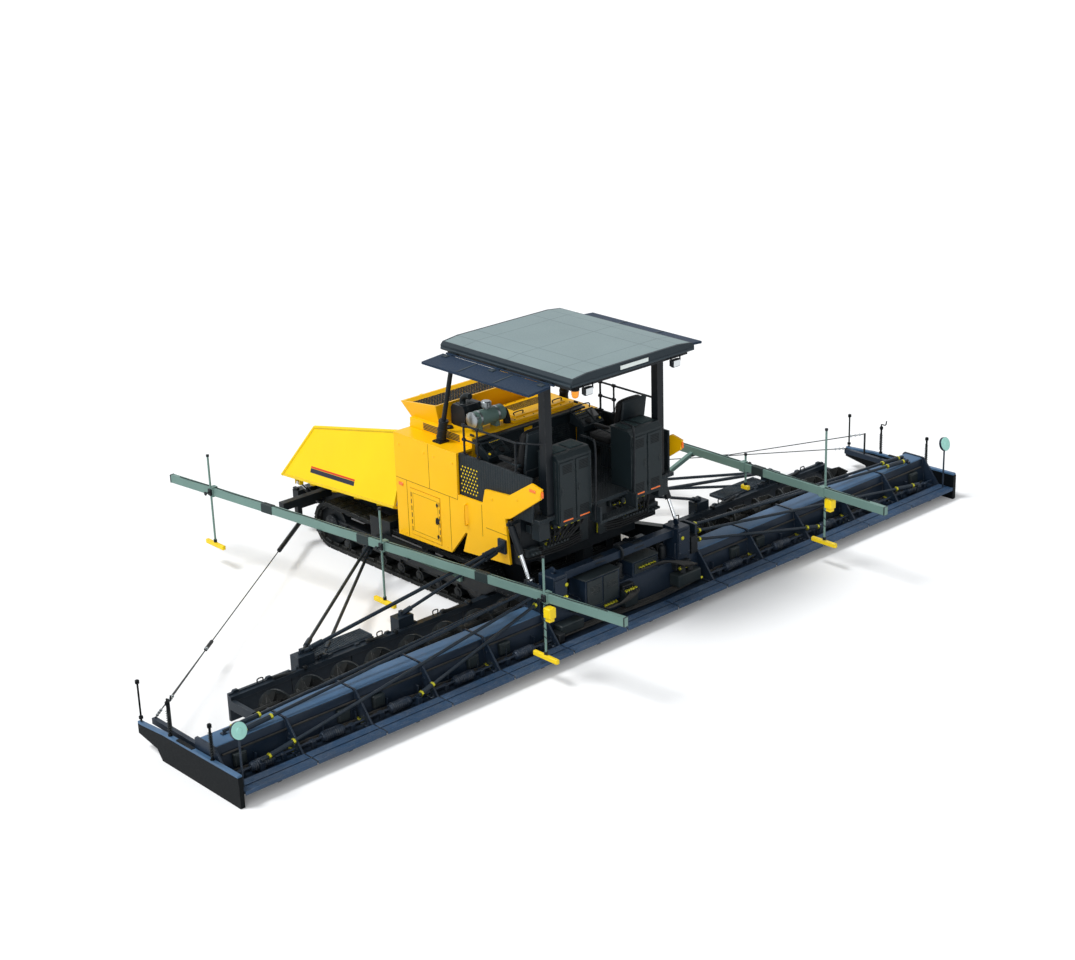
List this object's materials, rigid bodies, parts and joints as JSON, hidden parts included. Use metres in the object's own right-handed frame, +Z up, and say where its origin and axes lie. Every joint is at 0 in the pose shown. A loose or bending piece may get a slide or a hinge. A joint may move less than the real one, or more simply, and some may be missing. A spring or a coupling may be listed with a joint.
{
  "type": "asphalt paver",
  "caption": "Full-size tracked asphalt paver with folding hopper wings, twin-seat platform under a canopy and a very wide rigid screed with augers and levelling beams.",
  "frame": {"origin": "middle of the bounding box on the ground", "axes": "+X to the machine's left along the screed, -Y to the front where the hopper is, +Y to the rear where the screed is, +Z up"},
  "size_m": [13.7, 8.6786, 3.84],
  "materials": {
    "body_yellow": "satin golden yellow paint",
    "hopper_yellow": "satin lemon yellow paint, worn inside",
    "charcoal_paint": "satin charcoal paint",
    "black_paint": "satin black paint",
    "screed_blue": "dark blue steel, oiled",
    "track_steel": "dark cast steel",
    "beam_grey": "pale grey-green extrusion",
    "roof_grey": "pale grey-green moulding",
    "chrome_rod": "polished",
    "seat_black": "black vinyl cushions",
    "filter_green": "grey-green paint"
  },
  "bodies": {
    "tractor": {"left_track": "track_steel", "right_track": "track_steel", "hopper_floor": "track_steel", "left_track_frame": "black_paint", "right_track_frame": "black_paint", "left_tunnel": "black_paint", "right_tunnel": "black_paint", "tractor_frame": "black_paint", "engine_block": "black_paint", "muffler": "black_paint", "canopy_frame": "black_paint", "left_console": "charcoal_paint", "right_console": "charcoal_paint", "left_cabinet": "charcoal_paint", "right_cabinet": "charcoal_paint", "push_beam": "charcoal_paint", "operator_deck": "charcoal_paint", "left_side_panel": "body_yellow", "right_side_panel": "body_yellow", "hopper_rear_wall": "body_yellow", "front_cowl": "body_yellow", "canopy_roof": "roof_grey", "left_seat": "seat_black", "right_seat": "seat_black", "air_cleaner": "filter_green"},
    "left_push_roller": {"left_push_roller": "charcoal_paint"},
    "left_wing": {"left_hopper_wing": "hopper_yellow"},
    "left_wing_barrel": {"left_wing_barrel": "black_paint"},
    "left_wing_rod": {"left_wing_rod": "chrome_rod"},
    "left_side_door": {"left_side_door": "body_yellow"},
    "left_roof_flap": {"left_roof_flap": "charcoal_paint"},
    "left_auger": {"left_auger": "track_steel"},
    "left_lift_barrel": {"left_lift_barrel": "black_paint"},
    "left_lift_rod": {"left_lift_rod": "chrome_rod"},
    "left_end_gate": {"left_end_gate": "screed_blue"},
    "right_push_roller": {"right_push_roller": "charcoal_paint"},
    "right_wing": {"right_hopper_wing": "hopper_yellow"},
    "right_wing_barrel": {"right_wing_barrel": "black_paint"},
    "right_wing_rod": {"right_wing_rod": "chrome_rod"},
    "right_side_door": {"right_side_door": "body_yellow"},
    "right_roof_flap": {"right_roof_flap": "charcoal_paint"},
    "right_auger": {"right_auger": "track_steel"},
    "right_lift_barrel": {"right_lift_barrel": "black_paint"},
    "right_lift_rod": {"right_lift_rod": "chrome_rod"},
    "right_end_gate": {"right_end_gate": "screed_blue"},
    "engine_hood": {"engine_hood": "body_yellow"},
    "screed": {"centre_screed": "screed_blue", "left_screed": "screed_blue", "right_screed": "screed_blue", "left_tow_arm": "black_paint", "right_tow_arm": "black_paint", "left_stays": "screed_blue", "right_stays": "screed_blue", "left_rope": "black_paint", "right_rope": "black_paint", "left_averaging_beam": "beam_grey", "right_averaging_beam": "beam_grey"}
  },
  "joints": [
    {"name": "left_push_roller_spin", "type": "hinge", "parent": "tractor", "child": "left_push_roller", "pos_m": [0.6, -3.83, 0.54], "axis": [1, 0, 0], "continuous": true},
    {"name": "left_wing_fold", "type": "hinge", "parent": "tractor", "child": "left_wing", "pos_m": [0.74, -2.2, 0.9], "axis": [0, 1, 0], "range_deg": [-22, 18]},
    {"name": "left_wing_barrel_pivot", "type": "hinge", "parent": "tractor", "child": "left_wing_barrel", "pos_m": [0.94, -3.43, 0.47], "axis": [0, 1, 0], "range_deg": [-16, 14]},
    {"name": "left_wing_rod_slide", "type": "slide", "parent": "left_wing_barrel", "child": "left_wing_rod", "axis": [0.6419, 0, 0.7668], "range_m": [-0.15, 0.17]},
    {"name": "left_side_door_hinge", "type": "hinge", "parent": "tractor", "child": "left_side_door", "pos_m": [1.368, -0.59, 1.21], "axis": [0, 0, -1], "range_deg": [0, 100]},
    {"name": "left_roof_flap_hinge", "type": "hinge", "parent": "tractor", "child": "left_roof_flap", "pos_m": [1.175, 1.235, 3.678], "axis": [0, 1, 0], "range_deg": [0, 70]},
    {"name": "left_auger_spin", "type": "hinge", "parent": "tractor", "child": "left_auger", "pos_m": [3, 1.56, 0.33], "axis": [1, 0, 0], "continuous": true},
    {"name": "right_push_roller_spin", "type": "hinge", "parent": "tractor", "child": "right_push_roller", "pos_m": [-0.6, -3.83, 0.54], "axis": [1, 0, 0], "continuous": true},
    {"name": "right_wing_fold", "type": "hinge", "parent": "tractor", "child": "right_wing", "pos_m": [-0.74, -2.2, 0.9], "axis": [0, -1, 0], "range_deg": [-22, 18]},
    {"name": "right_wing_barrel_pivot", "type": "hinge", "parent": "tractor", "child": "right_wing_barrel", "pos_m": [-0.94, -3.43, 0.47], "axis": [0, -1, 0], "range_deg": [-16, 14]},
    {"name": "right_wing_rod_slide", "type": "slide", "parent": "right_wing_barrel", "child": "right_wing_rod", "axis": [-0.6419, 0, 0.7668], "range_m": [-0.15, 0.17]},
    {"name": "right_side_door_hinge", "type": "hinge", "parent": "tractor", "child": "right_side_door", "pos_m": [-1.368, -0.59, 1.21], "axis": [0, 0, 1], "range_deg": [0, 100]},
    {"name": "right_roof_flap_hinge", "type": "hinge", "parent": "tractor", "child": "right_roof_flap", "pos_m": [-1.175, 1.235, 3.678], "axis": [0, -1, 0], "range_deg": [0, 70]},
    {"name": "right_auger_spin", "type": "hinge", "parent": "tractor", "child": "right_auger", "pos_m": [-3, 1.56, 0.33], "axis": [1, 0, 0], "continuous": true},
    {"name": "engine_hood_hinge", "type": "hinge", "parent": "tractor", "child": "engine_hood", "pos_m": [-0.345, -0.235, 2.483], "axis": [1, 0, 0], "range_deg": [0, 50]},
    {"name": "screed_lift", "type": "hinge", "parent": "tractor", "child": "screed", "pos_m": [0, -1.25, 0.56], "axis": [1, 0, 0], "range_deg": [0, 6]},
    {"name": "left_lift_barrel_pivot", "type": "hinge", "parent": "tractor", "child": "left_lift_barrel", "pos_m": [1.431, 1.65, 1.64], "axis": [1, 0, 0], "range_deg": [0, 11]},
    {"name": "left_lift_rod_slide", "type": "slide", "parent": "left_lift_barrel", "child": "left_lift_rod", "axis": [0, 0.4276, -0.904], "range_m": [-0.325, 0]},
    {"name": "left_end_gate_slide", "type": "slide", "parent": "screed", "child": "left_end_gate", "axis": [0, 0, 1], "range_m": [0, 0.12]},
    {"name": "right_lift_barrel_pivot", "type": "hinge", "parent": "tractor", "child": "right_lift_barrel", "pos_m": [-1.431, 1.65, 1.64], "axis": [1, 0, 0], "range_deg": [0, 11]},
    {"name": "right_lift_rod_slide", "type": "slide", "parent": "right_lift_barrel", "child": "right_lift_rod", "axis": [0, 0.4276, -0.904], "range_m": [-0.325, 0]},
    {"name": "right_end_gate_slide", "type": "slide", "parent": "screed", "child": "right_end_gate", "axis": [0, 0, 1], "range_m": [0, 0.12]}
  ],
  "couplings": [
    {"joint": "left_wing_barrel_pivot", "follows": "left_wing_fold", "ratio": 0.634},
    {"joint": "left_wing_rod_slide", "follows": "left_wing_fold", "m_per_rad": -0.423},
    {"joint": "right_wing_barrel_pivot", "follows": "right_wing_fold", "ratio": 0.634},
    {"joint": "right_wing_rod_slide", "follows": "right_wing_fold", "m_per_rad": -0.423},
    {"joint": "left_lift_barrel_pivot", "follows": "screed_lift", "ratio": 1.714},
    {"joint": "left_lift_rod_slide", "follows": "screed_lift", "m_per_rad": -3.043},
    {"joint": "right_lift_barrel_pivot", "follows": "screed_lift", "ratio": 1.714},
    {"joint": "right_lift_rod_slide", "follows": "screed_lift", "m_per_rad": -3.043}
  ]
}
